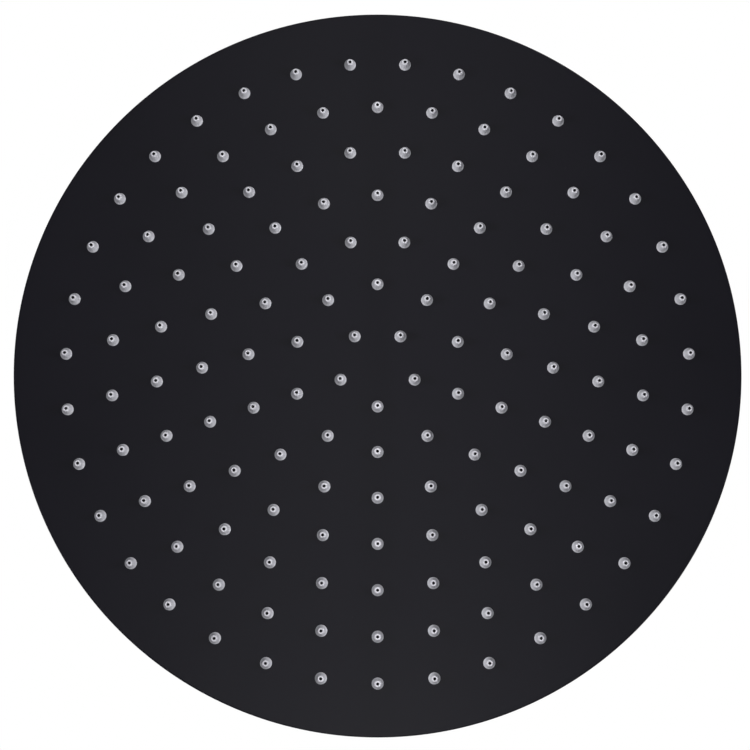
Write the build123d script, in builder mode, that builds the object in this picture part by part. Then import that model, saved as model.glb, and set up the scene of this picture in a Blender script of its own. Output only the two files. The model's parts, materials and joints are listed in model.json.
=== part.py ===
"""Round rain shower head on a ball swivel, 300 mm across.

Millimetres. +Z is up, along the inlet. The origin is the centre of the inlet's mouth, so the whole
head hangs below it and its spray face looks down. Every height is worked out downwards from there:
socket, ball, boss, centre plate, back plate, chamber, face plate, nozzle tips.
"""

import os

from build123d import *

# ---- Driving dimensions ------------------------------------------------------------------------

# Plates
head_diameter = 300.0
face_sheet = 1.0
back_sheet = 1.0
chamber_gap = 2.2  # clear height between the two plates
rim_land = 9.0  # flat ring where the plates lie on each other and are welded
rim_edge_radius = 0.8  # rounded lower edge of the face plate
back_edge_radius = 0.4
step_run = 5.0  # width of the slope from the land up to the field
dome_rise = 5.0
dome_top_radius = 34.0
dome_to_studs = 11.0  # from the foot of the dome to the inner ring of studs
stamped_radius = 3.0  # bends of the stamped back plate

# Nozzle pattern: ring n has n times five nozzles
ring_count = 7
nozzles_in_first_ring = 5
first_ring_radius = 16.05
rim_to_last_ring = 21.6

# One silicone nozzle
nozzle_height = 4.8  # how far it stands out of the face plate
nozzle_neck_diameter = 3.8  # in the plate's hole
nozzle_base_overhang = 0.6  # of the base and the flange over the neck, which hold the plate between them
nozzle_flange_overhang = 0.8
nozzle_base_height = 0.55
nozzle_shoulder_diameter = 3.9
nozzle_shoulder_height = 1.5
nozzle_tip_diameter = 2.4
nozzle_tip_round = 0.3
nozzle_outlet_diameter = 1.0
nozzle_outlet_length = 1.6
nozzle_inlet_diameter = 2.2
nozzle_flange_thickness = 0.6

# Tie studs between the plates
stud_diameter = 5.0
spigot_diameter = 3.0  # thinner end that goes through the back plate
studs_in_ring = 10
stud_rings = (4, 6)  # the studs stand midway between nozzle ring n and ring n + 1

# Centre plate and boss
centre_plate_margin = 6.0  # from the centre plate's rim to the edge of the raised centre
centre_plate_thickness = 1.5
centre_plate_chamfer = 0.6
boss_flange_overhang = 4.0  # beyond the outside thread
boss_flange_thickness = 2.0
boss_wall = 1.65  # between the ball cup and the outside thread
boss_floor = 1.15  # from the cup's lowest point down to the boss's seat
boss_bore_radius = 6.0
boss_spigot_wall = 3.0
boss_spigot_stand_out = 0.5  # how far the spigot reaches into the chamber
boss_rim_drop = 1.5  # from the ball's centre down to the boss's rim
boss_lead_in = 0.8

# Ball, seal and liner, all centred on one point
ball_radius = 9.75
ball_flat_cut = 1.35  # cut off the bottom of the ball
seal_thickness = 1.4
seal_angles = (120.0, 146.0)  # from straight up, seen from the ball's centre
liner_thickness = 1.0
liner_angles = (64.0, 84.0)
waterway_radius = 4.2
neck_wall = 1.8

# Collar nut
collar_wall = 1.9  # from its inside thread out to a flat
collar_lip = 1.8  # its top stands this far above the liner's seat
collar_gap = 1.0  # between its underside and the boss's flange
collar_shoulder_drop = 1.0
collar_seat_angle = 58.0  # where the seat ends and the opening begins
collar_opening_slope = 22.0  # of the opening's wall, from straight up
collar_chamfer_angle = 30.0
collar_chamfer_width = 1.4

# Socket with its G 1/2 inside thread, whose ridges are left out: the wall stands at the thread's
# outer radius, so that a G 1/2 outside thread goes in
thread_major_radius = 10.4775
thread_depth = 10.5
socket_wall = 2.0
socket_floor_thickness = 1.5
neck_reach = 5.4  # clear height between the collar nut and the hexagon
neck_flare_height = 2.6
mouth_chamfer = 0.4
hexagon_chamfer = 0.8

# Washer, screen and flow limiter
washer_ledge = 1.15  # step between the threaded wall and the washer's recess
recess_depth = 2.5
washer_thickness = 2.4
washer_bore_radius = 5.5
washer_rebate_depth = 1.1
screen_radius = 7.0
screen_open_radius = 5.4
screen_thickness = 0.4
screen_hole_diameter = 0.9
screen_pitch = 1.35
limiter_wall = 1.0  # of plastic between the waterway's wall and the limiter's pocket
limiter_height = 3.0
limiter_hole_diameter = 1.4
limiter_hole_count = 6
ring_section = 1.0  # thickness of the limiter's O-ring

# Clearances
running_clearance = 0.10  # between the ball, its rings and their seats
fit_clearance = 0.04  # between pieces that sit still in each other
thread_clearance = 0.10

# ---- Heights and radii that follow -------------------------------------------------------------

head_radius = head_diameter / 2
seal_inner = ball_radius + running_clearance
seal_outer = seal_inner + seal_thickness
cup_radius = seal_outer + running_clearance
liner_inner = ball_radius + running_clearance
liner_outer = liner_inner + liner_thickness
collar_seat_radius = liner_outer + running_clearance
collar_seat_rise = collar_seat_radius * Vector(0, 1).rotate(Axis.Z, -collar_seat_angle).Y
collar_top_rise = collar_seat_rise + collar_lip

inlet_wall_radius = thread_major_radius + fit_clearance
socket_across_flats = 2 * (inlet_wall_radius + socket_wall)
socket_floor = -(thread_depth + recess_depth)
socket_bottom = socket_floor - socket_floor_thickness

ball_centre = socket_bottom - neck_reach - collar_top_rise
boss_seat = ball_centre - cup_radius - boss_floor
platform_top = boss_seat - centre_plate_thickness
field_top = platform_top - dome_rise
face_top = field_top - back_sheet - chamber_gap
face_bottom = face_top - face_sheet
last_ring_radius = head_radius - rim_to_last_ring
ring_pitch = (last_ring_radius - first_ring_radius) / (ring_count - 1)
toward_front = -90.0  # every ring starts with a nozzle on -Y
nozzle_hole_radius = nozzle_neck_diameter / 2 + fit_clearance

neck_radius = waterway_radius + neck_wall
boss_spigot_radius = boss_bore_radius + boss_spigot_wall
boss_thread_radius = cup_radius + boss_wall
boss_flange_radius = boss_thread_radius + boss_flange_overhang


def ring_radius(ring):
    """Radius of nozzle ring 1, 2, 3 and so on."""
    return first_ring_radius + (ring - 1) * ring_pitch


def stud_ring_radius(ring):
    """Radius midway between this nozzle ring and the next one."""
    return ring_radius(ring) + ring_pitch / 2


def on_sphere(radius, angle):
    """(radius, height) of a point on a sphere about the ball's centre, the angle taken from straight up."""
    point = Vector(0, radius).rotate(Axis.Z, -angle)
    return (point.X, ball_centre + point.Y)


parts = []


def finish(builder, name):
    """Labels a finished piece and keeps it for export."""
    builder.part.label = name
    parts.append(builder.part)


# ---- Face plate --------------------------------------------------------------------------------

with BuildPart() as face_plate:
    with BuildSketch(Plane.XY.offset(face_bottom)):
        Circle(head_radius)
        for ring in range(1, ring_count + 1):
            with PolarLocations(ring_radius(ring), nozzles_in_first_ring * ring, toward_front):
                Circle(nozzle_hole_radius, mode=Mode.SUBTRACT)
    extrude(amount=face_sheet)
    lower_face = face_plate.faces().sort_by(Axis.Z)[0]
    fillet(lower_face.outer_wire().edges(), rim_edge_radius)
finish(face_plate, "face_plate")

# ---- Back plate: one stamped sheet, from the rim up over the step, the field and the dome --------

dome_foot_radius = stud_ring_radius(stud_rings[0]) - stud_diameter / 2 - dome_to_studs
field_radius = head_radius - rim_land - step_run


def stamped_line(thickness):
    """Corners of the stamped sheet's underside, raised by a thickness, from the centre hole to the rim."""
    return [
        (boss_spigot_radius + fit_clearance, platform_top - back_sheet + thickness),
        (dome_top_radius, platform_top - back_sheet + thickness),
        (dome_foot_radius, field_top - back_sheet + thickness),
        (field_radius, field_top - back_sheet + thickness),
        (head_radius - rim_land, face_top + thickness),
        (head_radius, face_top + thickness),
    ]


with BuildPart() as back_plate:
    with BuildSketch(Plane.XZ):
        with BuildLine():
            underside = FilletPolyline(*stamped_line(0), radius=stamped_radius)
            upper_side = FilletPolyline(*stamped_line(back_sheet), radius=stamped_radius)
            Line(underside @ 0, upper_side @ 0)
            Line(underside @ 1, upper_side @ 1)
        make_face()
    revolve(axis=Axis.Z)
    rim_edge = back_plate.edges().filter_by(GeomType.CIRCLE).group_by(SortBy.RADIUS)[-1].sort_by(Axis.Z)[-1]
    fillet(rim_edge, back_edge_radius)
    for ring in stud_rings:
        with PolarLocations(stud_ring_radius(ring), studs_in_ring, toward_front):
            Hole(spigot_diameter / 2 + fit_clearance)
finish(back_plate, "back_plate")

# ---- Tie studs ---------------------------------------------------------------------------------

with BuildPart() as stud:
    with BuildSketch(Plane.XY.offset(face_top)):
        Circle(stud_diameter / 2)
    extrude(amount=chamber_gap)
    with BuildSketch(Plane.XY.offset(face_top + chamber_gap)):
        Circle(spigot_diameter / 2)
    extrude(amount=back_sheet)

with BuildPart() as tie_studs:
    for ring in stud_rings:
        with PolarLocations(stud_ring_radius(ring), studs_in_ring, toward_front):
            add(stud.part)
finish(tie_studs, "tie_studs")

# ---- Nozzles: a neck in the plate's hole, a flange inside, a two-step cone outside ----------------

neck = nozzle_neck_diameter / 2
base = neck + nozzle_base_overhang
flange = neck + nozzle_flange_overhang
tip = nozzle_tip_diameter / 2
outlet = nozzle_outlet_diameter / 2
tip_level = face_bottom - nozzle_height

with BuildPart() as nozzle:
    with BuildSketch(Plane.XZ):
        with BuildLine():
            Polyline(
                (nozzle_inlet_diameter / 2, face_top + nozzle_flange_thickness),
                (flange, face_top + nozzle_flange_thickness),
                (flange, face_top),
                (neck, face_top),
                (neck, face_bottom),
                (base, face_bottom),
                (base, face_bottom - nozzle_base_height),
                (nozzle_shoulder_diameter / 2, face_bottom - nozzle_shoulder_height),
                (tip, tip_level + nozzle_tip_round),
                (tip - nozzle_tip_round, tip_level),
                (outlet, tip_level),
                (outlet, tip_level + nozzle_outlet_length),
                close=True,
            )
        make_face()
    revolve(axis=Axis.Z)

for ring in range(1, ring_count + 1):
    with BuildPart() as nozzle_ring:
        with PolarLocations(ring_radius(ring), nozzles_in_first_ring * ring, toward_front):
            add(nozzle.part)
    finish(nozzle_ring, f"nozzle_ring_{ring}")

# ---- Centre plate ------------------------------------------------------------------------------

with BuildPart() as centre_plate:
    with BuildSketch(Plane.XY.offset(platform_top)):
        Circle(dome_top_radius - centre_plate_margin)
        Circle(boss_spigot_radius + fit_clearance, mode=Mode.SUBTRACT)
    extrude(amount=centre_plate_thickness)
    top_face = centre_plate.faces().sort_by(Axis.Z)[-1]
    chamfer(top_face.outer_wire().edges(), centre_plate_chamfer)
finish(centre_plate, "centre_plate")

# ---- Inlet boss: spigot, flange, threaded neck and the cup for the ball ---------------------------

boss_bottom = platform_top - back_sheet - boss_spigot_stand_out
boss_rim = ball_centre - boss_rim_drop
flange_top = boss_seat + boss_flange_thickness

with BuildPart() as inlet_boss:
    with BuildSketch(Plane.XZ):
        with BuildLine():
            Polyline(
                (boss_bore_radius, boss_bottom),
                (boss_spigot_radius, boss_bottom),
                (boss_spigot_radius, boss_seat),
                (boss_flange_radius, boss_seat),
                (boss_flange_radius, flange_top),
                (boss_thread_radius, flange_top),
                (boss_thread_radius, boss_rim - boss_lead_in),
                (boss_thread_radius - boss_lead_in, boss_rim),
                (boss_bore_radius, boss_rim),
                close=True,
            )
        make_face()
    revolve(axis=Axis.Z)
    with Locations((0, 0, ball_centre)):
        Sphere(cup_radius, mode=Mode.SUBTRACT)
    flange_edge = inlet_boss.edges().filter_by(GeomType.CIRCLE).group_by(SortBy.RADIUS)[-1].sort_by(Axis.Z)[-1]
    fillet(flange_edge, boss_flange_thickness / 2)
finish(inlet_boss, "inlet_boss")

# ---- Ball seal and ball liner: zones of a hollow sphere -------------------------------------------


def sphere_zone(inner, outer, angles):
    """Section of a ring between two spheres about the ball's centre, from one angle to the other."""
    middle = sum(angles) / 2
    ThreePointArc(*(on_sphere(inner, angle) for angle in (angles[0], middle, angles[1])))
    ThreePointArc(*(on_sphere(outer, angle) for angle in (angles[0], middle, angles[1])))
    for angle in angles:
        Line(on_sphere(inner, angle), on_sphere(outer, angle))


with BuildPart() as ball_seal:
    with BuildSketch(Plane.XZ):
        with BuildLine():
            sphere_zone(seal_inner, seal_outer, seal_angles)
        make_face()
    revolve(axis=Axis.Z)
finish(ball_seal, "ball_seal")

with BuildPart() as ball_liner:
    with BuildSketch(Plane.XZ):
        with BuildLine():
            sphere_zone(liner_inner, liner_outer, liner_angles)
        make_face()
    revolve(axis=Axis.Z)
finish(ball_liner, "ball_liner")

# ---- Swivel ball with its neck and hexagonal socket -----------------------------------------------

recess_radius = inlet_wall_radius - washer_ledge
pocket_radius = waterway_radius + limiter_wall
pocket_floor = socket_floor - limiter_height
flat_radius = socket_across_flats / 2
turned_radius = flat_radius - hexagon_chamfer / 2
hexagon_corner = flat_radius + hexagon_chamfer * 2.5
corner_chamfer = hexagon_chamfer * 1.6

with BuildPart() as swivel_ball:
    with BuildSketch(Plane.XY.offset(socket_bottom)):
        RegularPolygon(flat_radius, 6, major_radius=False)
    extrude(amount=-socket_bottom)
    # The turned blank that rounds the hexagon's corners at both ends
    with BuildSketch(Plane.XZ):
        with BuildLine():
            Polyline(
                (0, 0),
                (turned_radius, 0),
                (hexagon_corner, -corner_chamfer),
                (hexagon_corner, socket_bottom + corner_chamfer),
                (turned_radius, socket_bottom),
                (0, socket_bottom),
                close=True,
            )
        make_face()
    revolve(axis=Axis.Z, mode=Mode.INTERSECT)
    # Neck, flaring into the socket
    with BuildSketch(Plane.XZ):
        with BuildLine():
            neck_foot = (neck_radius, socket_bottom - neck_flare_height)
            flare_top = (neck_radius + neck_flare_height, socket_bottom)
            neck_side = Line((neck_radius, ball_centre), neck_foot)
            flare = TangentArc(neck_foot, flare_top, tangent=neck_side % 1)
            Polyline(flare_top, (0, socket_bottom), (0, ball_centre), (neck_radius, ball_centre))
        make_face()
    revolve(axis=Axis.Z)
    # Ball, cut flat below
    with Locations((0, 0, ball_centre)):
        Sphere(ball_radius)
    split(bisect_by=Plane.XY.offset(ball_centre - ball_radius + ball_flat_cut), keep=Keep.TOP)
    # Threaded mouth, washer's recess, limiter's pocket and waterway
    with BuildSketch(Plane.XZ):
        with BuildLine():
            Polyline(
                (0, 0),
                (inlet_wall_radius + mouth_chamfer, 0),
                (inlet_wall_radius, -mouth_chamfer),
                (inlet_wall_radius, -thread_depth),
                (recess_radius, -thread_depth),
                (recess_radius, socket_floor),
                (pocket_radius, socket_floor),
                (pocket_radius, pocket_floor),
                (waterway_radius, pocket_floor),
                (waterway_radius, ball_centre - ball_radius),
                (0, ball_centre - ball_radius),
                close=True,
            )
        make_face()
    revolve(axis=Axis.Z, mode=Mode.SUBTRACT)
finish(swivel_ball, "swivel_ball")

# ---- Collar nut --------------------------------------------------------------------------------

collar_top = ball_centre + collar_top_rise
collar_bottom = flange_top + collar_gap
collar_shoulder = ball_centre - collar_shoulder_drop
collar_thread_radius = boss_thread_radius + thread_clearance
collar_flat_radius = collar_thread_radius + collar_wall
collar_corner_radius = collar_flat_radius * 1.16  # just outside the hexagon's corners
top_face_radius = collar_flat_radius - collar_chamfer_width
chamfer_slope = Vector(1, 0).rotate(Axis.Z, collar_chamfer_angle)
corner_drop = (collar_corner_radius - top_face_radius) * chamfer_slope.Y / chamfer_slope.X
seat_edge_radius = on_sphere(collar_seat_radius, collar_seat_angle)[0]
opening_slope = Vector(0, 1).rotate(Axis.Z, -collar_opening_slope)
opening_top_radius = seat_edge_radius + collar_lip * opening_slope.X / opening_slope.Y

with BuildPart() as collar_nut:
    with BuildSketch(Plane.XY.offset(collar_bottom)):
        RegularPolygon(collar_flat_radius, 6, major_radius=False)
    extrude(amount=collar_top - collar_bottom)
    # The turned blank that rounds the hexagon's corners, most of all at the top
    with BuildSketch(Plane.XZ):
        with BuildLine():
            Polyline(
                (0, collar_top),
                (top_face_radius, collar_top),
                (collar_corner_radius, collar_top - corner_drop),
                (collar_corner_radius, collar_bottom + corner_drop / 3),
                (collar_flat_radius, collar_bottom),
                (0, collar_bottom),
                close=True,
            )
        make_face()
    revolve(axis=Axis.Z, mode=Mode.INTERSECT)
    # Inside thread, then the seat for the liner
    with BuildSketch(Plane.XZ):
        with BuildLine():
            Polyline(
                (0, collar_bottom),
                (collar_thread_radius, collar_bottom),
                (collar_thread_radius, collar_shoulder),
                (0, collar_shoulder),
                close=True,
            )
        make_face()
    revolve(axis=Axis.Z, mode=Mode.SUBTRACT)
    with Locations((0, 0, ball_centre)):
        Sphere(collar_seat_radius, mode=Mode.SUBTRACT)
    # Opening that the neck tilts in
    with BuildSketch(Plane.XZ):
        with BuildLine():
            Polyline(
                (0, ball_centre),
                (seat_edge_radius, ball_centre),
                (seat_edge_radius, ball_centre + collar_seat_rise),
                (opening_top_radius, collar_top),
                (0, collar_top),
                close=True,
            )
        make_face()
    revolve(axis=Axis.Z, mode=Mode.SUBTRACT)
finish(collar_nut, "collar_nut")

# ---- Inlet washer, filter screen, flow limiter and its O-ring --------------------------------------

washer_outer_radius = recess_radius - fit_clearance
washer_top = socket_floor + washer_thickness
rebate_radius = screen_radius + fit_clearance
screen_seat = washer_top - washer_rebate_depth

with BuildPart() as inlet_washer:
    with BuildSketch(Plane.XZ):
        with BuildLine():
            Polyline(
                (washer_bore_radius, socket_floor),
                (washer_outer_radius, socket_floor),
                (washer_outer_radius, washer_top),
                (rebate_radius, washer_top),
                (rebate_radius, screen_seat),
                (washer_bore_radius, screen_seat),
                close=True,
            )
        make_face()
    revolve(axis=Axis.Z)
finish(inlet_washer, "inlet_washer")

screen_rows = 2 * int(screen_open_radius // screen_pitch) + 3
screen_grid = HexLocations(screen_pitch / 2, screen_rows, screen_rows)
screen_holes = [spot for spot in screen_grid if spot.position.length < screen_open_radius]

with BuildPart() as filter_screen:
    with BuildSketch(Plane.XY.offset(screen_seat)):
        Circle(screen_radius)
        with Locations(screen_holes):
            Circle(screen_hole_diameter / 2, mode=Mode.SUBTRACT)
    extrude(amount=screen_thickness)
finish(filter_screen, "filter_screen")

limiter_radius = pocket_radius - fit_clearance
ring_centre_radius = limiter_radius - ring_section / 2
ring_level = pocket_floor + limiter_height / 2
groove_radius = limiter_radius - ring_section - fit_clearance
groove_half = ring_section / 2 + fit_clearance

with BuildPart() as flow_limiter:
    with BuildSketch(Plane.XY.offset(pocket_floor)):
        Circle(limiter_radius)
        with PolarLocations(groove_radius / 2 + fit_clearance, limiter_hole_count):
            Circle(limiter_hole_diameter / 2, mode=Mode.SUBTRACT)
    extrude(amount=limiter_height)
    with BuildSketch(Plane.XY.offset(ring_level - groove_half)):
        Circle(pocket_radius)
        Circle(groove_radius, mode=Mode.SUBTRACT)
    extrude(amount=2 * groove_half, mode=Mode.SUBTRACT)
finish(flow_limiter, "flow_limiter")

with BuildPart() as limiter_ring:
    with Locations((0, 0, ring_level)):
        Torus(ring_centre_radius, ring_section / 2)
finish(limiter_ring, "limiter_ring")

# ---- Files -------------------------------------------------------------------------------------

os.makedirs("parts", exist_ok=True)
for piece in parts:
    export_step(piece, f"parts/{piece.label}.step")
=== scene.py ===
import json
import math
import random

import bmesh
import bpy
from mathutils import Matrix, Vector


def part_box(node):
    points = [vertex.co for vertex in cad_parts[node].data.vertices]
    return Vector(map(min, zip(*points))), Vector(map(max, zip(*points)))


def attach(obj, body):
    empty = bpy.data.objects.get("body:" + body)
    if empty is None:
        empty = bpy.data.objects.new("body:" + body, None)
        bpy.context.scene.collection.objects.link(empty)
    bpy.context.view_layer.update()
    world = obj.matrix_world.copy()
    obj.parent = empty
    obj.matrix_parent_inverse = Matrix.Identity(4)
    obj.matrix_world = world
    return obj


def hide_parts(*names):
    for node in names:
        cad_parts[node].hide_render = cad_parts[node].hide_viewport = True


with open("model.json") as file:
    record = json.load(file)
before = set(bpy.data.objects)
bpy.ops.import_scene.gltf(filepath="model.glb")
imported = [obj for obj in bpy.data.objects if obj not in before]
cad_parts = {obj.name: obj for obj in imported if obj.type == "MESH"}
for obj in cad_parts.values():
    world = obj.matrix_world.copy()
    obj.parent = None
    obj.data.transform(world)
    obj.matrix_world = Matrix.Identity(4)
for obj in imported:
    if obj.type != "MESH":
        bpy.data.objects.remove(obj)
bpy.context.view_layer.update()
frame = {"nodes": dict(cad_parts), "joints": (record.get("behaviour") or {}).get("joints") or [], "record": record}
scene = bpy.context.scene
mm = 0.001

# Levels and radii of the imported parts, on which every piece is placed
faceLow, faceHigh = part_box("face_plate")
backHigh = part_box("back_plate")[1]
padLow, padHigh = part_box("centre_plate")
bossLow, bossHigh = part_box("inlet_boss")
collarLow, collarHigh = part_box("collar_nut")
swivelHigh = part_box("swivel_ball")[1]
headRadius = min(faceHigh.x, faceHigh.y, -faceLow.x, -faceLow.y)
faceLevel, faceTop = faceLow.z, faceHigh.z
ballCentre = frame["joints"][0]["pos_m"][2]
inletRadius = frame["record"]["mounts"][0]["dims"]["r_mm"] * mm
bossHole = 9.04 * mm  # radius of the hole for the boss in the back plate and the centre plate


# Outlines are closed lists of (radius, height, rounding, cuts), counterclockwise with the height
# upwards. A rounded corner becomes an arc, and cuts divides the run that follows the corner.

def softenOutline(corners, arcSteps=5):
    points = []  # (radius, height, edge), where edge is 1 in the middle of an outward corner
    count = len(corners)
    full = [(tuple(corner) + (0, 0))[:4] for corner in corners]
    for i, (radius, height, rounding, cuts) in enumerate(full):
        here = Vector((radius, height))
        following = full[(i + 1) % count]
        came = (here - Vector(full[i - 1][:2])).normalized()
        goes = (Vector(following[:2]) - here).normalized()
        turn = math.atan2(came.x * goes.y - came.y * goes.x, came.dot(goes))
        if rounding:
            start = here - came * rounding * math.tan(abs(turn) / 2)
            centre = start + Vector((-came.y, came.x)) * math.copysign(rounding, turn)
            for step in range(arcSteps + 1):
                spoke = Matrix.Rotation(turn * step / arcSteps, 2) @ (start - centre)
                points.append((*(centre + spoke), 1 - abs(2 * step / arcSteps - 1) if turn > 0 else 0))
        else:
            points.append((*here, 0))
        if cuts:
            last = Vector(points[-1][:2])
            end = Vector(following[:2]) - goes * following[2]
            points += [(*last.lerp(end, n / (cuts + 1)), 0) for n in range(1, cuts + 1)]
    return points


def roundArc(radius, centreHeight, fromAngle, toAngle, steps):
    # Points of a circle about the axis, the angles in degrees from straight up
    angles = [math.radians(fromAngle + (toAngle - fromAngle) * n / steps) for n in range(steps + 1)]
    return [(radius * math.sin(a), centreHeight + radius * math.cos(a)) for a in angles]


def hexagonClamp(radius, angle, flats, sharpness=70):
    # Radius of a turned blank where six flats cut it, with softened edges, and how much of an edge it is
    walls = [math.cos(angle - math.radians(30 + 60 * n)) / flats for n in range(6)]
    terms = [wall ** sharpness for wall in walls if wall > 0] + [radius ** -sharpness]
    total = sum(terms)
    return total ** (-1 / sharpness), min(1, 2.6 * (1 - max(terms) / total))


def turnedMesh(outline, sides, flats=None):
    vertices, faces, edges = [], [], []
    rows = len(outline)
    for side in range(sides):
        angle = 2 * math.pi * side / sides
        for radius, height, edge in outline:
            if flats and radius > 0.8 * flats:
                radius, cut = hexagonClamp(radius, angle, flats)
                edge = max(edge if cut < 0.05 else 0, cut)
            vertices.append((radius * math.cos(angle), radius * math.sin(angle), height))
            edges.append(edge)
    for side in range(sides):
        here, beside = side * rows, (side + 1) % sides * rows
        for row in range(rows):
            above = (row + 1) % rows
            faces.append((here + row, beside + row, beside + above, here + above))
    return vertices, faces, edges


def evenNormals(piece):
    # Shades by the larger faces, so that flat runs stay flat between their rounded edges
    normals = piece.modifiers.new("evenNormals", "WEIGHTED_NORMAL")
    normals.keep_sharp = True
    normals.weight = 100


def makePiece(name, vertices, faces, marks=None):
    # marks are point attributes by name, such as how much of an edge a point is, for edge wear and a painted edge
    # highlight
    mesh = bpy.data.meshes.new(name)
    mesh.from_pydata(vertices, [], faces)
    mesh.update()
    mesh.polygons.foreach_set("use_smooth", [True] * len(mesh.polygons))
    for mark, values in (marks or {}).items():
        mesh.attributes.new(mark, "FLOAT", "POINT").data.foreach_set("value", values)
    piece = bpy.data.objects.new(name, mesh)
    scene.collection.objects.link(piece)
    evenNormals(piece)
    return piece


def turnedPiece(name, corners, sides, flats=None, arcSteps=5):
    vertices, faces, edges = turnedMesh(softenOutline(corners, arcSteps), sides, flats)
    return makePiece(name, vertices, faces, {"edge": edges})


def settle(piece, body, slot, material, *nodes):
    # Puts a finished piece on its body, in the place of the CAD nodes that it stands for
    piece.data.materials.append(material)
    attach(piece, body)
    if nodes:
        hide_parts(*nodes)


# Shader groups, each with the inputs that a material sets for itself
def newGroup(name, inputs, outputs):
    group = bpy.data.node_groups.new(name, "ShaderNodeTree")
    for title, value in inputs.items():
        socket = group.interface.new_socket(title, in_out="INPUT", socket_type="NodeSocketFloat")
        socket.default_value = value
    for title in outputs:
        group.interface.new_socket(title, in_out="OUTPUT", socket_type="NodeSocketFloat")
    return group, group.nodes.new("NodeGroupInput"), group.nodes.new("NodeGroupOutput")


def addNode(tree, kind, links=None, **settings):
    # links are the sockets or plain values that go into the node's inputs, by name or number
    node = tree.nodes.new("ShaderNode" + kind)
    for key, value in settings.items():
        setattr(node, key, value)
    for key, value in (links or {}).items():
        if isinstance(value, bpy.types.NodeSocket):
            tree.links.new(value, node.inputs[key])
        else:
            node.inputs[key].default_value = value
    return node


def doMath(tree, operation, *values, clamp=False):
    return addNode(tree, "Math", dict(enumerate(values)), operation=operation, use_clamp=clamp).outputs[0]


def spread(tree, value, low, high, toLow=0.0, toHigh=1.0):
    # Straight line from low..high to toLow..toHigh, held at both ends
    places = {"Value": value, "From Min": low, "From Max": high, "To Min": toLow, "To Max": toHigh}
    return addNode(tree, "MapRange", places).outputs[0]


def objectPlace(tree):
    return addNode(tree, "TexCoord").outputs["Object"]


def makeGrainGroup():
    # Fine bumps of a sprayed coat, and a slow drift over the whole sheet
    group, into, out = newGroup("coatGrain", {"Grain Size": 0.4, "Drift Size": 60.0}, ["Height", "Drift"])
    place = objectPlace(group)
    fine = doMath(group, "DIVIDE", 1000.0, into.outputs["Grain Size"])
    slow = doMath(group, "DIVIDE", 1000.0, into.outputs["Drift Size"])
    grain = addNode(group, "TexNoise", {"Vector": place, "Scale": fine, "Detail": 3.0, "Roughness": 0.6})
    drift = addNode(group, "TexNoise", {"Vector": place, "Scale": slow, "Detail": 2.0, "Roughness": 0.45})
    group.links.new(grain.outputs[0], out.inputs["Height"])
    group.links.new(drift.outputs[0], out.inputs["Drift"])
    return group


def makeDustGroup():
    # Sparse motes, gathered in patches
    group, into, out = newGroup("fineDust", {"Mote Spacing": 6.0, "Mote Size": 0.05}, ["Mask"])
    place = objectPlace(group)
    scale = doMath(group, "DIVIDE", 1000.0, into.outputs["Mote Spacing"])
    motes = addNode(group, "TexVoronoi", {"Vector": place, "Scale": scale, "Randomness": 1.0})
    near = doMath(group, "LESS_THAN", motes.outputs["Distance"], into.outputs["Mote Size"])
    patch = addNode(group, "TexNoise", {"Vector": place, "Scale": 25.0, "Detail": 1.0}).outputs[0]
    group.links.new(doMath(group, "MULTIPLY", near, spread(group, patch, 0.48, 0.62)), out.inputs["Mask"])
    return group


def makeEdgeGroup():
    # Where handling has polished or thinned the finish along the edges; on the silicone the same mask lays a
    # painted highlight
    group, into, out = newGroup("edgeWearAndHighlight", {"Amount": 0.5, "Patch Size": 3.0}, ["Mask"])
    scale = doMath(group, "DIVIDE", 1000.0, into.outputs["Patch Size"])
    edge = addNode(group, "Attribute", attribute_name="edge").outputs["Fac"]
    broken = addNode(group, "TexNoise", {"Vector": objectPlace(group), "Scale": scale, "Detail": 4.0})
    patches = spread(group, broken.outputs[0], 0.42, 0.66)
    reach = doMath(group, "MULTIPLY", patches, into.outputs["Amount"])
    mask = doMath(group, "MULTIPLY", spread(group, edge, 0.35, 0.95), reach, clamp=True)
    group.links.new(mask, out.inputs["Mask"])
    return group


def makeLatheGroup():
    # Rings that a cutting tool leaves round the axis, uneven in depth
    group, into, out = newGroup("latheRings", {"Ring Pitch": 0.25}, ["Height"])
    split = addNode(group, "SeparateXYZ", {0: objectPlace(group)})
    squares = [doMath(group, "MULTIPLY", split.outputs[n], split.outputs[n]) for n in (0, 1)]
    radius = doMath(group, "SQRT", doMath(group, "ADD", *squares))
    along = doMath(group, "ADD", radius, doMath(group, "MULTIPLY", split.outputs[2], 1.7))
    step = doMath(group, "DIVIDE", doMath(group, "MULTIPLY", along, 1000.0), into.outputs["Ring Pitch"])
    rings = addNode(group, "TexNoise", {"W": step, "Scale": 1.0, "Detail": 3.0}, noise_dimensions="1D")
    group.links.new(rings.outputs[0], out.inputs["Height"])
    return group


grainGroup, dustGroup = makeGrainGroup(), makeDustGroup()
edgeGroup, latheGroup = makeEdgeGroup(), makeLatheGroup()


# Materials
def newMaterial(name, **shaderValues):
    material = bpy.data.materials.new(name)
    material.use_nodes = True
    tree = material.node_tree
    shader = tree.nodes["Principled BSDF"]
    for title, value in shaderValues.items():
        shader.inputs[title.replace("_", " ")].default_value = value
    return material, tree, shader


def placeGroup(tree, group, **values):
    node = addNode(tree, "Group", node_tree=group)
    for title, value in values.items():
        node.inputs[title.replace("_", " ")].default_value = value
    return node


def mixColours(tree, share, first, second):
    node = addNode(tree, "Mix", data_type="RGBA")
    places = ((node.inputs["Factor"], share), (node.inputs[6], first), (node.inputs[7], second))
    for socket, value in places:
        if isinstance(value, bpy.types.NodeSocket):
            tree.links.new(value, socket)
        else:
            socket.default_value = value
    return node.outputs[2]


def addBumps(tree, shader, *bumps):
    # bumps are (height socket, depth in millimetres), laid over each other
    normal = None
    for height, depth in bumps:
        bump = addNode(tree, "Bump", {"Height": height, "Distance": depth * mm, "Strength": 1.0})
        if normal:
            tree.links.new(normal, bump.inputs["Normal"])
        normal = bump.outputs["Normal"]
    tree.links.new(normal, shader.inputs["Normal"])


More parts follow.
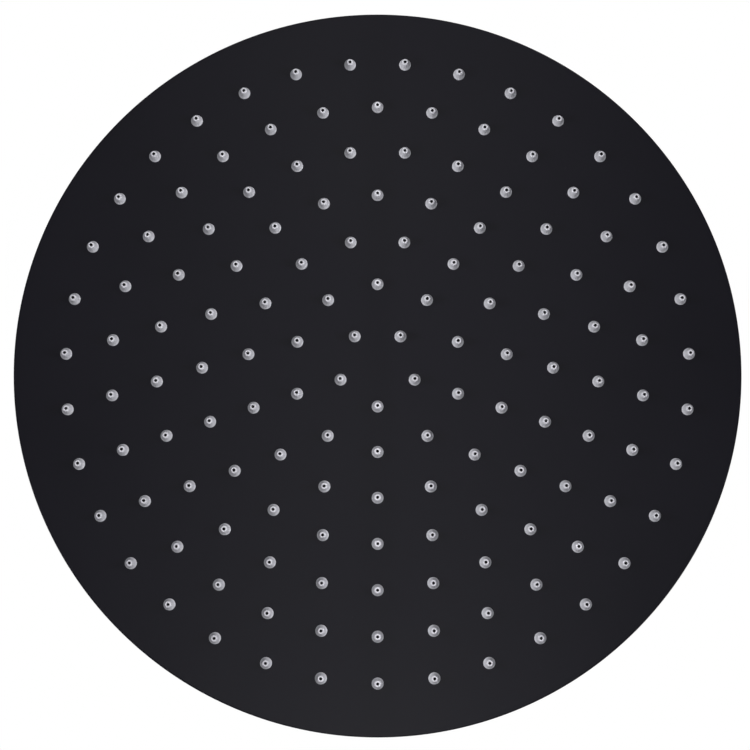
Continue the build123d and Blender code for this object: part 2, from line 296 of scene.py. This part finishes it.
matBlack = {
    "coat": (0.0050, 0.0047, 0.0082, 1),
    "coatLight": (0.0064, 0.0060, 0.0100, 1),
    "dust": (0.05, 0.05, 0.055, 1),
    "worn": (0.025, 0.025, 0.028, 1),
    "roughness": (0.38, 0.42),
    "sheetSpecular": 0.12,
    "turnedSpecular": 0.46,
    "waveDepth": 0.25,  # millimetres, over a whole hand's breadth
    "grainDepth": 0.006,
}


def makeMatBlack(name, specular, latheDepth=0.0, wear=0.6):
    material, tree, shader = newMaterial(name, Specular_IOR_Level=specular)
    grain = placeGroup(tree, grainGroup, Grain_Size=0.35, Drift_Size=70.0)
    dust = placeGroup(tree, dustGroup, Mote_Spacing=7.0, Mote_Size=0.018)
    worn = placeGroup(tree, edgeGroup, Amount=wear, Patch_Size=4.0)
    shade = spread(tree, grain.outputs["Drift"], 0.3, 0.7)
    colour = mixColours(tree, shade, matBlack["coat"], matBlack["coatLight"])
    colour = mixColours(tree, worn.outputs["Mask"], colour, matBlack["worn"])
    colour = mixColours(tree, dust.outputs["Mask"], colour, matBlack["dust"])
    tree.links.new(colour, shader.inputs["Base Color"])
    rough = spread(tree, grain.outputs["Drift"], 0.3, 0.7, *matBlack["roughness"])
    tree.links.new(rough, shader.inputs["Roughness"])
    bumps = [
        (grain.outputs["Drift"], matBlack["waveDepth"]),
        (grain.outputs["Height"], matBlack["grainDepth"]),
    ]
    if latheDepth:
        bumps.append((placeGroup(tree, latheGroup, Ring_Pitch=0.3).outputs["Height"], latheDepth))
    addBumps(tree, shader, *bumps)
    return material


silicone = {
    "body": (0.62, 0.62, 0.66, 1),
    "light": (0.74, 0.74, 0.78, 1),
    # painted highlight: paler silicone on the rounded edges
    "edgeHighlight": (0.82, 0.82, 0.84, 1),
    # painted shade: near black, laid inside the nozzle outlet bores
    "bore": (0.004, 0.004, 0.0045, 1),
}


def makeSilicone():
    material, tree, shader = newMaterial("greySilicone", Roughness=0.55, Specular_IOR_Level=0.35)
    grain = placeGroup(tree, grainGroup, Grain_Size=0.25, Drift_Size=4.0)
    tone = addNode(tree, "Attribute", attribute_name="tone").outputs["Fac"]
    shade = doMath(tree, "MULTIPLY", doMath(tree, "ADD", tone, grain.outputs["Drift"]), 0.5)
    colour = mixColours(tree, shade, silicone["body"], silicone["light"])
    # painted highlight along the nozzles' rounded edges, in broken patches
    worn = placeGroup(tree, edgeGroup, Amount=0.3, Patch_Size=1.0)
    colour = mixColours(tree, worn.outputs["Mask"], colour, silicone["edgeHighlight"])
    bore = addNode(tree, "Attribute", attribute_name="bore").outputs["Fac"]  # painted shade: the inside of the outlet bore is darkened
    colour = mixColours(tree, bore, colour, silicone["bore"])
    tree.links.new(colour, shader.inputs["Base Color"])
    tree.links.new(spread(tree, grain.outputs["Height"], 0.3, 0.7, 0.48, 0.62), shader.inputs["Roughness"])
    addBumps(tree, shader, (grain.outputs["Height"], 0.004))
    return material


def makePlain(name, dark, light, roughness, metallic=0.0, grainSize=0.3, grainDepth=0.004, ringDepth=0.0):
    # The finishes of the small inner pieces: two shades of one colour, with a grain of their own
    material, tree, shader = newMaterial(name, Metallic=metallic)
    grain = placeGroup(tree, grainGroup, Grain_Size=grainSize, Drift_Size=5.0)
    shade = spread(tree, grain.outputs["Drift"], 0.3, 0.7)
    worn = placeGroup(tree, edgeGroup, Amount=0.4, Patch_Size=2.0)
    colour = mixColours(tree, shade, (*dark, 1), (*light, 1))
    colour = mixColours(tree, worn.outputs["Mask"], colour, (*(min(1, 1.4 * c + 0.02) for c in light), 1))
    tree.links.new(colour, shader.inputs["Base Color"])
    rough = spread(tree, grain.outputs["Height"], 0.3, 0.7, roughness - 0.06, roughness + 0.06)
    tree.links.new(rough, shader.inputs["Roughness"])
    bumps = [(grain.outputs["Height"], grainDepth)]
    if ringDepth:
        bumps.append((placeGroup(tree, latheGroup, Ring_Pitch=0.15).outputs["Height"], ringDepth))
    addBumps(tree, shader, *bumps)
    return material


sheetBlack = makeMatBlack("matBlackSheet", matBlack["sheetSpecular"])
turnedBlack = makeMatBlack("matBlackTurned", matBlack["turnedSpecular"], latheDepth=0.006, wear=0.9)
greySilicone = makeSilicone()
studSteel = makePlain("studSteel", (0.42, 0.42, 0.42), (0.55, 0.55, 0.56), 0.36,
                      metallic=1.0, ringDepth=0.004)
ballMetal = makePlain("ballMetal", (0.60, 0.58, 0.55), (0.72, 0.70, 0.67), 0.20,
                      metallic=1.0, ringDepth=0.002)
sealRubber = makePlain("sealRubber", (0.012, 0.012, 0.012), (0.022, 0.022, 0.022), 0.62, grainDepth=0.008)
linerPlastic = makePlain("linerPlastic", (0.62, 0.61, 0.57), (0.72, 0.71, 0.67), 0.42)
screenSteel = makePlain("screenSteel", (0.17, 0.17, 0.17), (0.23, 0.23, 0.22), 0.45, metallic=1.0)
limiterPlastic = makePlain("limiterPlastic", (0.07, 0.20, 0.33), (0.10, 0.26, 0.42), 0.40)
print("materials made")


# Face plate: a flat sheet with the nozzle holes and a rounded edge

facePlate = {"edge": 0.8 * mm, "seam": 0.1 * mm, "sides": 480, "holeSides": 32}
nozzle = {
    "ringCount": 7,
    "inFirstRing": 5,
    "sides": 40,
    "neck": 1.9 * mm,
    "holeGap": 0.04 * mm,
    "flange": 2.7 * mm,
    "base": 2.43 * mm,
    "baseHeight": 0.45 * mm,
    "shoulder": 2.0 * mm,
    "shoulderHeight": 1.25 * mm,
    "tip": 1.26 * mm,
    "outlet": 0.60 * mm,
    "outletLength": 1.6 * mm,
    "mouth": 0.06 * mm,  # how much of the outlet's mouth is left out of the painted bore shade
    "inlet": 1.1 * mm,
    "lean": 0.012,  # most that a tip wanders sideways, as a share of its height
}


def nozzlePlaces(ring):
    # Centres of one ring's nozzles; every ring starts with one on -Y
    radius = -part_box(f"nozzle_ring_{ring}")[0].y - nozzle["flange"]
    count = nozzle["inFirstRing"] * ring
    turns = [2 * math.pi * n / count for n in range(count)]
    return [Vector((radius * math.sin(turn), -radius * math.cos(turn), 0)) for turn in turns]


def makeFacePlate():
    sides, holeSides = facePlate["sides"], facePlate["holeSides"]
    outline = softenOutline([
        (headRadius - 3 * mm, faceLevel),
        (headRadius, faceLevel, facePlate["edge"]),
        (headRadius, faceTop, facePlate["seam"]),
        (headRadius - 3 * mm, faceTop),
    ], arcSteps=8)
    bm = bmesh.new()
    edgeLayer = bm.verts.layers.float.new("edge")

    def ringOfVertices(centre, radius, height, count, edge=0):
        turns = [2 * math.pi * n / count for n in range(count)]
        spots = [(centre.x + radius * math.cos(t), centre.y + radius * math.sin(t), height) for t in turns]
        ring = [bm.verts.new(spot) for spot in spots]
        for vertex in ring:
            vertex[edgeLayer] = edge
        return ring

    def joinRings(lower, upper):
        for n, vertex in enumerate(lower):
            after = (n + 1) % len(lower)
            bm.faces.new((vertex, lower[after], upper[after], upper[n]))

    def sharpen(loop):
        for n, vertex in enumerate(loop):
            bm.edges.get((loop[n - 1], vertex)).smooth = False

    rings = [ringOfVertices(Vector((0, 0)), r, z, sides, e) for r, z, e in outline]
    for lower, upper in zip(rings, rings[1:]):
        joinRings(lower, upper)
    borders = {faceLevel: [rings[0]], faceTop: [rings[-1]]}
    holeRadius = nozzle["neck"] + nozzle["holeGap"]
    for ring in range(1, nozzle["ringCount"] + 1):
        for centre in nozzlePlaces(ring):
            hole = [ringOfVertices(centre, holeRadius, z, holeSides) for z in borders]
            joinRings(hole[1], hole[0])
            for border, loop in zip(borders.values(), hole):
                sharpen(loop)
                border.append(loop)
    for loops in borders.values():
        edges = [bm.edges.get((loop[n - 1], loop[n])) for loop in loops for n in range(len(loop))]
        bmesh.ops.triangle_fill(bm, use_beauty=True, use_dissolve=False, edges=edges)
    bmesh.ops.recalc_face_normals(bm, faces=bm.faces)
    mesh = bpy.data.meshes.new("facePlate")
    bm.to_mesh(mesh)
    bm.free()
    mesh.polygons.foreach_set("use_smooth", [True] * len(mesh.polygons))
    piece = bpy.data.objects.new("facePlate", mesh)
    scene.collection.objects.link(piece)
    evenNormals(piece)
    settle(piece, "head", "coated_steel", sheetBlack, "face_plate")


makeFacePlate()
print("face plate made")


# Nozzles: one piece for each ring, every nozzle a little out of true
def makeNozzleRings():
    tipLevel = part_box("nozzle_ring_1")[0].z
    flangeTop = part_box("nozzle_ring_1")[1].z
    profile = softenOutline([
        (nozzle["outlet"], tipLevel, 0.08 * mm),
        (nozzle["tip"], tipLevel, 0.36 * mm, 1),
        (nozzle["shoulder"], faceLevel - nozzle["shoulderHeight"], 0.8 * mm),
        (nozzle["base"], faceLevel - nozzle["baseHeight"], 0.35 * mm),
        (nozzle["base"], faceLevel, 0.08 * mm),
        (nozzle["neck"], faceLevel),
        (nozzle["neck"], faceTop),
        (nozzle["flange"], faceTop),
        (nozzle["flange"], flangeTop, 0.15 * mm),
        (nozzle["inlet"], flangeTop),
        (nozzle["outlet"], tipLevel + nozzle["outletLength"]),
    ], arcSteps=4)
    vertices, faces, edges = turnedMesh(profile, nozzle["sides"])
    # the inside of each bore, below the mouth, gets painted shade
    boreRadius = nozzle["outlet"] + 0.01 * mm
    boreLow = tipLevel + nozzle["mouth"]
    boreShadeMask = [float(math.hypot(x, y) < boreRadius and z > boreLow) for x, y, z in vertices]
    chance = random.Random(7)
    for ring in range(1, nozzle["ringCount"] + 1):
        allVertices, allFaces, tones = [], [], []
        for centre in nozzlePlaces(ring):
            first = len(allVertices)
            lean = [chance.gauss(0, nozzle["lean"] / 2) for _ in range(2)]
            tone = chance.uniform(0, 1)
            for x, y, z in vertices:
                depth = max(0, faceLevel - z)
                allVertices.append((centre.x + x + lean[0] * depth, centre.y + y + lean[1] * depth, z))
            allFaces += [tuple(first + corner for corner in face) for face in faces]
            tones += [tone] * len(vertices)
        copies = len(allVertices) // len(vertices)
        marks = {"edge": edges * copies, "tone": tones, "bore": boreShadeMask * copies}
        piece = makePiece(f"nozzleRing{ring}", allVertices, allFaces, marks)
        settle(piece, "head", "silicone", greySilicone, f"nozzle_ring_{ring}")


makeNozzleRings()
print("nozzles made")


# Back plate: the stamped sheet with its rim, step, field and raised centre

backPlate = {
    "sheet": 1.0 * mm,
    "land": 9.0 * mm,
    "stepRun": 5.0 * mm,
    "fieldLevel": 2.2 * mm,  # from the face plate's top to the field's underside
    "domeFoot": 68.1 * mm,
    "domeTop": 34.0 * mm,
    "bend": 3.0 * mm,
    "edge": 0.4 * mm,
    "seam": 0.1 * mm,
}


def makeBackPlate():
    sheet, bend = backPlate["sheet"], backPlate["bend"]
    line = [
        (headRadius - backPlate["land"], faceTop),
        (headRadius - backPlate["land"] - backPlate["stepRun"], faceTop + backPlate["fieldLevel"]),
        (backPlate["domeFoot"], faceTop + backPlate["fieldLevel"]),
        (backPlate["domeTop"], backHigh.z - sheet),
    ]
    upper = [(radius, height + sheet, bend, 2) for radius, height in line]
    lower = [(radius, height, bend, 2) for radius, height in reversed(line)]
    corners = [(bossHole, backHigh.z - sheet)] + lower + [
        (headRadius, faceTop, backPlate["seam"]),
        (headRadius, faceTop + sheet, backPlate["edge"], 1),
    ] + upper + [(bossHole, backHigh.z)]
    piece = turnedPiece("backPlate", corners, sides=360, arcSteps=6)
    settle(piece, "head", "coated_steel", sheetBlack, "back_plate")


makeBackPlate()


# Tie studs between the plates; their ground ends leave faint marks under the back plate's coat

tieStuds = {
    "radius": 2.5 * mm, "spigot": 1.5 * mm, "inRing": 10, "cover": 0.03 * mm,
    "mark": 1.6 * mm, "markRise": 0.06 * mm,
}


def makeTieStuds():
    spigotTop = faceTop + backPlate["fieldLevel"] + backPlate["sheet"] - tieStuds["cover"]
    studs = turnedMesh(softenOutline([
        (0.2 * mm, faceTop),
        (tieStuds["radius"], faceTop, 0.1 * mm),
        (tieStuds["radius"], faceTop + backPlate["fieldLevel"], 0.1 * mm),
        (tieStuds["spigot"], faceTop + backPlate["fieldLevel"]),
        (tieStuds["spigot"], spigotTop),
        (0.2 * mm, spigotTop),
    ]), 32)
    rise = tieStuds["markRise"]
    fieldTop = spigotTop + tieStuds["cover"]
    marks = turnedMesh(softenOutline([
        (0.02 * mm, fieldTop - 0.05 * mm),
        (tieStuds["mark"] + 0.5 * mm, fieldTop - 0.05 * mm),
        (tieStuds["mark"], fieldTop + rise, 0.4 * mm),
        (0.02 * mm, fieldTop + rise),
    ], arcSteps=3), 32)
    outer = -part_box("tie_studs")[0].y - tieStuds["radius"]
    pitch = (nozzlePlaces(3)[0] - nozzlePlaces(2)[0]).length

    def place(name, vertices, faces, edges):
        allVertices, allFaces = [], []
        for radius in (outer, outer - 2 * pitch):
            for n in range(tieStuds["inRing"]):
                turn = 2 * math.pi * n / tieStuds["inRing"]
                spot = (radius * math.sin(turn), -radius * math.cos(turn))
                first = len(allVertices)
                allVertices += [(x + spot[0], y + spot[1], z) for x, y, z in vertices]
                allFaces += [tuple(first + corner for corner in face) for face in faces]
        return makePiece(name, allVertices, allFaces, {"edge": edges * (2 * tieStuds["inRing"])})

    settle(place("tieStuds", *studs), "head", "plain_steel", studSteel, "tie_studs")
    settle(place("studMarks", *marks), "head", "coated_steel", sheetBlack)


makeTieStuds()
print("back plate made")


# Centre plate, boss, collar nut and swivel
def makeCentrePlate():
    piece = turnedPiece("centrePlate", [
        (bossHole, padLow.z),
        (padHigh.x, padLow.z, 0.1 * mm),
        (padHigh.x, padHigh.z - 0.6 * mm, 0.2 * mm),
        (padHigh.x - 0.6 * mm, padHigh.z, 0.25 * mm, 2),
        (bossHole, padHigh.z),
    ], sides=192)
    settle(piece, "head", "coated_steel", sheetBlack, "centre_plate")


def threadRidge(name, wall, reach, pitch, low, high, sides=96):
    # A helical ridge on a round wall, from the wall's radius to the radius that it reaches
    turns = (high - low - pitch) / pitch
    steps = int(turns * sides)
    section = [(0, -0.46), (0.86, -0.13), (1.0, 0.0), (0.86, 0.13), (0, 0.46)]
    vertices, faces = [], []
    for step in range(steps + 1):
        angle = 2 * math.pi * step / sides
        fade = min(1, step / 30, (steps - step) / 30)  # the ridge runs out at both ends
        middle = low + pitch / 2 + pitch * step / sides
        for share, up in section:
            radius = wall + (reach - wall) * share * fade
            vertices.append((radius * math.cos(angle), radius * math.sin(angle), middle + up * pitch))
    rows = len(section)
    for step in range(steps):
        for row in range(rows - 1):
            a = step * rows + row
            faces.append((a, a + 1, a + rows + 1, a + rows))
    return makePiece(name, vertices, faces)


boss = {
    "bore": 6.0 * mm, "spigot": 9.0 * mm, "flange": 2.0 * mm, "flangeRound": 0.9 * mm,
    "thread": 13.0 * mm, "threadRoot": 12.2 * mm, "cup": 11.35 * mm, "leadIn": 0.8 * mm,
}


def makeInletBoss():
    cupDrop = math.sqrt(boss["cup"] ** 2 - boss["bore"] ** 2)
    rimDrop = ballCentre - bossHigh.z
    rimAngle = math.degrees(math.acos(-rimDrop / boss["cup"]))
    boreAngle = math.degrees(math.acos(-cupDrop / boss["cup"]))
    flangeTop = padHigh.z + boss["flange"]
    corners = [
        (boss["bore"], bossLow.z),
        (boss["spigot"], bossLow.z, 0.3 * mm),
        (boss["spigot"], padHigh.z),
        (bossHigh.x, padHigh.z, 0.15 * mm),
        (bossHigh.x, flangeTop, boss["flangeRound"]),
        (boss["threadRoot"] + 0.6 * mm, flangeTop, 0.3 * mm),
        (boss["threadRoot"], flangeTop + 0.7 * mm, 0.2 * mm),
        (boss["threadRoot"], bossHigh.z - boss["leadIn"], 0.1 * mm),
        (boss["thread"] - boss["leadIn"], bossHigh.z, 0.1 * mm),
    ] + roundArc(boss["cup"], ballCentre, rimAngle, boreAngle, 24)
    piece = turnedPiece("inletBoss", corners, sides=160)
    settle(piece, "head", "coated_brass", turnedBlack, "inlet_boss")
    ridge = threadRidge("bossThread", boss["threadRoot"], boss["thread"], 1.5 * mm,
                        flangeTop + 0.2 * mm, bossHigh.z - 0.4 * mm)
    settle(ridge, "head", "coated_brass", turnedBlack)


collar = {
    "thread": 13.1 * mm, "seat": 10.95 * mm, "seatAngle": 58, "openingTop": 10.013 * mm,
    "shoulder": 1.0 * mm, "topRound": 1.4 * mm, "chamfer": 30,
}


def makeCollarNut():
    flats = collarHigh.y
    corner = flats * 1.16
    topRadius = flats - collar["topRound"]
    drop = (corner - topRadius) * math.tan(math.radians(collar["chamfer"]))
    shoulder = ballCentre - collar["shoulder"]
    lowAngle = 90 + math.degrees(math.asin(collar["shoulder"] / collar["seat"]))
    corners = [
        (collar["thread"] + 0.4 * mm, collarLow.z, 0.1 * mm),
        (flats, collarLow.z, 0.3 * mm, 6),
        (corner, collarLow.z + drop / 3, 0.3 * mm, 20),
        (corner, collarHigh.z - drop, 0.3 * mm, 24),
        (topRadius, collarHigh.z, 0.4 * mm, 2),
        (collar["openingTop"], collarHigh.z, 0.35 * mm, 2),
    ] + roundArc(collar["seat"], ballCentre, collar["seatAngle"], lowAngle, 16) + [
        (collar["thread"], shoulder, 0.1 * mm),
        (collar["thread"], collarLow.z + 0.4 * mm, 0.1 * mm),
    ]
    piece = turnedPiece("collarNut", corners, sides=360, flats=flats)
    settle(piece, "head", "coated_brass", turnedBlack, "collar_nut")


swivel = {
    "ball": 9.75 * mm, "flatCut": 1.35 * mm, "waterway": 4.2 * mm, "neck": 6.0 * mm, "flare": 2.6 * mm,
    "socketLevel": -14.5 * mm, "pocketLevel": -16.0 * mm, "pocket": 5.2 * mm, "floorLevel": -13.0 * mm,
    "recess": 9.3675 * mm, "ledgeLevel": -10.5 * mm, "mouth": 0.4 * mm, "chamfer": 0.8 * mm,
    "threadMinor": 9.3155 * mm, "threadPitch": 1.814 * mm,
}


def makeSwivelBall():
    flats = swivelHigh.y
    top, bottom = swivelHigh.z, swivel["socketLevel"]
    corner = flats + swivel["chamfer"] * 2.5
    turned = flats - swivel["chamfer"] / 2
    drop = swivel["chamfer"] * 1.6
    flatLevel = ballCentre - swivel["ball"] + swivel["flatCut"]
    flatAngle = math.degrees(math.acos((flatLevel - ballCentre) / swivel["ball"]))
    neckAngle = math.degrees(math.asin(swivel["neck"] / swivel["ball"]))
    flareSteps = [math.radians(90 * n / 8) for n in range(9)]
    reach = swivel["flare"]
    flareCentre = (swivel["neck"] + reach, bottom - reach)
    flare = [(flareCentre[0] - reach * math.cos(a), flareCentre[1] + reach * math.sin(a)) for a in flareSteps]
    corners = [
        (swivel["waterway"], flatLevel, 0.3 * mm),
    ] + roundArc(swivel["ball"], ballCentre, flatAngle, neckAngle, 40) + flare + [
        (turned, bottom, 0.3 * mm, 6),
        (corner, bottom + drop, 0.2 * mm, 22),
        (corner, top - drop, 0.2 * mm, 6),
        (turned, top, 0.3 * mm),
        (inletRadius + swivel["mouth"], top, 0.1 * mm),
        (inletRadius, top - swivel["mouth"], 0.1 * mm),
        (inletRadius, swivel["ledgeLevel"]),
        (swivel["recess"], swivel["ledgeLevel"], 0.1 * mm),
        (swivel["recess"], swivel["floorLevel"]),
        (swivel["pocket"], swivel["floorLevel"], 0.1 * mm),
        (swivel["pocket"], swivel["pocketLevel"]),
        (swivel["waterway"], swivel["pocketLevel"], 0.1 * mm),
    ]
    piece = turnedPiece("swivelBall", corners, sides=360, flats=flats)
    settle(piece, "inlet", "coated_brass", turnedBlack, "swivel_ball")
    piece.data.materials.append(ballMetal)
    neckTop = ballCentre + swivel["ball"] * math.cos(math.radians(neckAngle)) + 0.2 * mm
    for polygon in piece.data.polygons:
        if polygon.center.z < neckTop:
            polygon.material_index = 1
    ridge = threadRidge("inletThread", inletRadius, swivel["threadMinor"], swivel["threadPitch"],
                        swivel["ledgeLevel"] + 0.1 * mm, top - 0.3 * mm)
    settle(ridge, "inlet", "coated_brass", ballMetal)


makeCentrePlate()
makeInletBoss()
makeCollarNut()
makeSwivelBall()
print("swivel made")


# Small inner pieces, as the frame has them

innerFinishes = {
    "ball_seal": sealRubber,
    "ball_liner": linerPlastic,
    "inlet_washer": sealRubber,
    "filter_screen": screenSteel,
    "flow_limiter": limiterPlastic,
    "limiter_ring": sealRubber,
}
for node, finish in innerFinishes.items():
    frame["nodes"][node].material_slots[0].material = finish


# Floor, light and camera
studio = {
    "floorLevel": -1.35,
    "floorRadius": 9.0,
    "floorFade": (1.5, 6.3),
    "floorShades": ((0.80, 0.80, 0.79, 1), (0.85, 0.85, 0.84, 1)),
    "below": (0.275, 0.275, 0.285, 1),
    "horizon": (0.11, 0.11, 0.115, 1),
    "above": (0.65, 0.65, 0.65, 1),
    "lowBand": (-0.6, -0.2),
    "highBand": (0.2, 0.7),
    "lampColour": (0.98, 0.98, 1.0),
}


def makeFloor():
    # A wide pale floor that thins out into the white surroundings and throws no light back up
    bpy.ops.mesh.primitive_circle_add(vertices=96, radius=studio["floorRadius"], fill_type="TRIFAN",
                                      location=(0, 0, studio["floorLevel"]))
    floor = bpy.context.object
    floor.name = "floor"
    floor.visible_diffuse = False
    floor.visible_glossy = False
    material, tree, shader = newMaterial("paleFloor", Roughness=0.75)
    cloudy = addNode(tree, "TexNoise", {"Vector": objectPlace(tree), "Scale": 3.0, "Detail": 4.0})
    colour = mixColours(tree, cloudy.outputs[0], *studio["floorShades"])
    tree.links.new(colour, shader.inputs["Base Color"])
    outwards = addNode(tree, "VectorMath", {0: objectPlace(tree)}, operation="LENGTH").outputs["Value"]
    tree.links.new(spread(tree, outwards, *studio["floorFade"], 1, 0), shader.inputs["Alpha"])
    floor.data.materials.append(material)


def makeWorld():
    # White behind the object. As light, it is bright overhead, dimmer from below and dark all round
    world = bpy.data.worlds.new("studio")
    scene.world = world
    world.use_nodes = True
    tree = world.node_tree
    heading = addNode(tree, "SeparateXYZ", {0: addNode(tree, "TexCoord").outputs["Generated"]})
    rise = heading.outputs["Z"]
    tent = mixColours(tree, spread(tree, rise, *studio["lowBand"]), studio["below"], studio["horizon"])
    tent = mixColours(tree, spread(tree, rise, *studio["highBand"]), tent, studio["above"])
    seen = addNode(tree, "LightPath").outputs["Is Camera Ray"]
    colour = mixColours(tree, seen, tent, (1, 1, 1, 1))
    tree.links.new(colour, tree.nodes["Background"].inputs["Color"])


def hangLamp(name, light, place, target):
    light.color = studio["lampColour"]
    lamp = bpy.data.objects.new(name, light)
    scene.collection.objects.link(lamp)
    lamp.location = place
    lamp.rotation_euler = (Vector(target) - Vector(place)).to_track_quat("-Z", "Y").to_euler()
    lamp.visible_camera = False
    return lamp


# Place, target, width, height and power of the soft lamps
softLamps = {
    "softBox": ((0, -0.52, -0.98), (0, 0, faceLevel), 0.4, 0.5, 2.2),
    "strip": ((0, 0.15, -1.25), (0, 0.1, faceLevel), 0.2, 1.5, 4.15),
    "above": ((0.3, -0.6, 1.1), (0, 0, 0), 1.0, 0.7, 10.5),
    "behind": ((-0.5, 1.0, 0.6), (0, 0, 0), 1.2, 0.6, 6.2),
    "left": ((-1.1, -0.5, 0.30), (0, 0, 0), 0.4, 0.7, 5.3),
    "right": ((1.1, -0.3, 0.40), (0, 0, 0), 0.4, 0.7, 5.3),
}


def makeSoftLamp(name, place, target, width, height, power):
    light = bpy.data.lights.new(name, "AREA")
    light.shape = "RECTANGLE"
    light.size, light.size_y = width, height
    light.energy = power
    hangLamp(name, light, place, target)


# Two flagged spots that cross below the face, so that each half is lit from the middle outwards
crossLamp = {"aside": 0.57, "drop": 0.40, "cone": 34, "blend": 0.2, "flag": (-0.007, 0.003), "power": 9.4}


def makeCrossLamp(name, side):
    light = bpy.data.lights.new(name, "SPOT")
    light.energy = crossLamp["power"]
    light.spot_size = math.radians(crossLamp["cone"])
    light.spot_blend = crossLamp["blend"]
    light.shadow_soft_size = 0
    light.use_nodes = True
    tree = light.node_tree
    beam = addNode(tree, "SeparateXYZ", {0: addNode(tree, "TexCoord").outputs["Normal"]})
    flag = spread(tree, beam.outputs["Y"], *crossLamp["flag"], 1, 0)  # cuts the beam at the centre line
    tree.links.new(flag, tree.nodes["Emission"].inputs["Strength"])
    place = (-side * crossLamp["aside"], 0, faceLevel - crossLamp["drop"])
    lamp = hangLamp(name, light, place, (0, 0, faceLevel))
    lamp.visible_glossy = False


cameraPlan = {"distance": 0.759, "foot": -0.090, "aside": 0.00106, "pitch": 6.54, "lens": 89.1}


def makeCamera():
    camera = bpy.data.cameras.new("camera")
    camera.lens = cameraPlan["lens"]
    camera.sensor_width = 36
    camera.clip_start, camera.clip_end = 0.01, 50
    holder = bpy.data.objects.new("camera", camera)
    scene.collection.objects.link(holder)
    place = Vector((cameraPlan["aside"], cameraPlan["foot"], faceLevel - cameraPlan["distance"]))
    tilt = Matrix.Rotation(math.radians(-cameraPlan["pitch"]), 4, "X")
    holder.matrix_world = Matrix.Translation(place) @ tilt @ Matrix.Rotation(math.pi, 4, "Y")
    scene.camera = holder


makeFloor()
makeWorld()
for name, plan in softLamps.items():
    makeSoftLamp(name, *plan)
makeCrossLamp("crossLeft", -1)
makeCrossLamp("crossRight", 1)
makeCamera()
scene.view_settings.view_transform = "Standard"
print("stage made")
